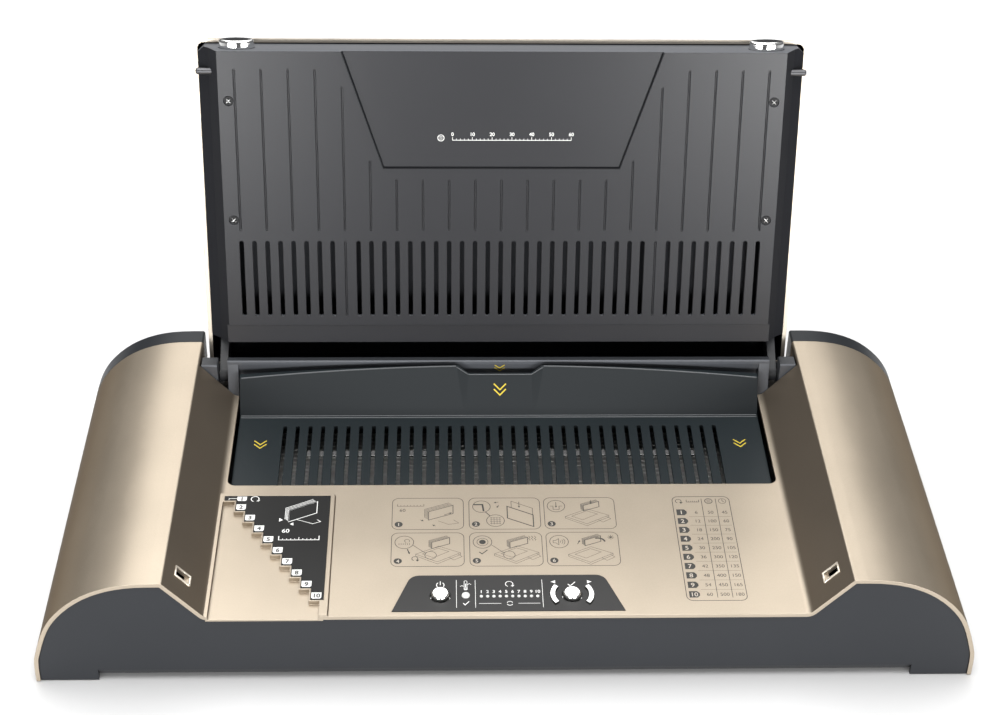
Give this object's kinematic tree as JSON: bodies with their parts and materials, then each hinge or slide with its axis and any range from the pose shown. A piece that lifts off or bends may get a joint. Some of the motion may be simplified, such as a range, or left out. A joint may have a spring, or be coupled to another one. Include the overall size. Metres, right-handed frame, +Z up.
{
  "type": "thermal binding machine",
  "caption": "Desktop thermal binding machine with a hinged lid, a sliding document carriage over a hot plate, a thickness gauge and a push-button control panel.",
  "frame": {"origin": "centre of the machine's bounding box, on the surface that its feet stand on", "axes": "+X across the machine to the right seen from the front, +Y to the back, +Z up"},
  "size_m": [0.53, 0.285, 0.267],
  "materials": {
    "aluminium": "plain",
    "board": "solder mask",
    "ceramic": "plain",
    "champagne_plastic": "metallic champagne paint, satin",
    "chrome": "polished",
    "clear_lens": "clear",
    "component_plastic": "plain",
    "dark_plastic": "fine moulded texture, satin",
    "fascia_plastic": "satin",
    "grille_plastic": "fine moulded texture, heat-resistant",
    "label_film": "satin film",
    "lid_plastic": "smooth satin",
    "rubber": "matt",
    "screw_steel": "black oxide",
    "spring_steel": "plain",
    "steel": "plain",
    "white_acetal": "plain",
    "winding": "varnished laminations"
  },
  "bodies": {
    "base": {"base_pan": "dark_plastic", "rubber_feet": "rubber", "housing_screws": "screw_steel", "top_cover": "champagne_plastic", "front_panel": "dark_plastic", "rear_cap": "dark_plastic", "rear_housing": "dark_plastic", "gauge_label": "label_film", "control_fascia": "fascia_plastic", "status_lens": "clear_lens", "level_lenses": "clear_lens", "control_board": "board", "board_screws": "screw_steel", "tact_switches": "component_plastic", "indicator_leds": "ceramic", "buzzer": "component_plastic", "heater_plate": "aluminium", "heater_element": "ceramic", "heater_tray": "steel", "heater_insulators": "ceramic", "thermal_fuse": "steel", "temperature_sensor": "steel", "power_board": "board", "transformer": "winding", "position_sensor": "component_plastic", "mains_inlet": "component_plastic", "guide_rods": "steel", "rod_brackets": "steel", "shaft_brackets": "component_plastic", "hinge_pins": "steel", "return_springs": "spring_steel"},
    "carriage": {"carriage": "grille_plastic", "stiffener_strip": "steel", "gear_racks": "white_acetal", "rod_bushes": "white_acetal", "rear_bumpers": "rubber"},
    "sync_shaft": {"sync_shaft": "steel", "pinions": "white_acetal"},
    "lid": {"lid_inner_cover": "lid_plastic", "lid_outer_shell": "champagne_plastic", "lid_screws": "screw_steel", "hinge_brackets": "steel", "hinge_bushes": "white_acetal", "latch_frames": "steel", "latch_spring_left": "spring_steel", "latch_spring_right": "spring_steel"},
    "release_button_left": {"release_button_left": "chrome"},
    "release_button_right": {"release_button_right": "chrome"},
    "latch_pin_left": {"latch_pin_left": "steel"},
    "latch_pin_right": {"latch_pin_right": "steel"},
    "power_button": {"power_button": "chrome"},
    "select_button": {"select_button": "chrome"},
    "arrow_left_button": {"arrow_left_button": "chrome"},
    "arrow_right_button": {"arrow_right_button": "chrome"}
  },
  "joints": [
    {"name": "lid_hinge", "type": "hinge", "parent": "base", "child": "lid", "pos_m": [0, 0.0705, 0.0584], "axis": [-1, 0, 0], "range_deg": [-102.63, 0]},
    {"name": "carriage_slide", "type": "slide", "parent": "base", "child": "carriage", "axis": [0, -1, 0], "range_m": [0, 0.06], "stiffness_N_per_m": 60, "springref_m": -0.05, "deforming": ["return_springs"]},
    {"name": "sync_shaft_spin", "type": "hinge", "parent": "base", "child": "sync_shaft", "pos_m": [0, -0.0325, 0.024], "axis": [1, 0, 0], "range_deg": [-10, 392]},
    {"name": "release_button_left_push", "type": "slide", "parent": "lid", "child": "release_button_left", "axis": [0, -0.2187, -0.9758], "range_m": [0, 0.005], "stiffness_N_per_m": 400, "springref_m": -0.003},
    {"name": "release_button_right_push", "type": "slide", "parent": "lid", "child": "release_button_right", "axis": [0, -0.2187, -0.9758], "range_m": [0, 0.005], "stiffness_N_per_m": 400, "springref_m": -0.003},
    {"name": "latch_pin_left_slide", "type": "slide", "parent": "lid", "child": "latch_pin_left", "axis": [1, 0, 0], "range_m": [0, 0.0052], "deforming": ["latch_spring_left"]},
    {"name": "latch_pin_right_slide", "type": "slide", "parent": "lid", "child": "latch_pin_right", "axis": [-1, 0, 0], "range_m": [0, 0.0052], "deforming": ["latch_spring_right"]},
    {"name": "power_button_push", "type": "slide", "parent": "base", "child": "power_button", "axis": [0, 0, -1], "range_m": [0, 0.0008], "stiffness_N_per_m": 300, "springref_m": -0.001},
    {"name": "select_button_push", "type": "slide", "parent": "base", "child": "select_button", "axis": [0, 0, -1], "range_m": [0, 0.0008], "stiffness_N_per_m": 300, "springref_m": -0.001},
    {"name": "arrow_left_button_push", "type": "slide", "parent": "base", "child": "arrow_left_button", "axis": [0, 0, -1], "range_m": [0, 0.0008], "stiffness_N_per_m": 300, "springref_m": -0.001},
    {"name": "arrow_right_button_push", "type": "slide", "parent": "base", "child": "arrow_right_button", "axis": [0, 0, -1], "range_m": [0, 0.0008], "stiffness_N_per_m": 300, "springref_m": -0.001}
  ],
  "couplings": [
    {"joint": "sync_shaft_spin", "follows": "carriage_slide", "rad_per_m": 111.11},
    {"joint": "latch_pin_left_slide", "follows": "release_button_left_push", "ratio": 1},
    {"joint": "latch_pin_right_slide", "follows": "release_button_right_push", "ratio": 1}
  ]
}
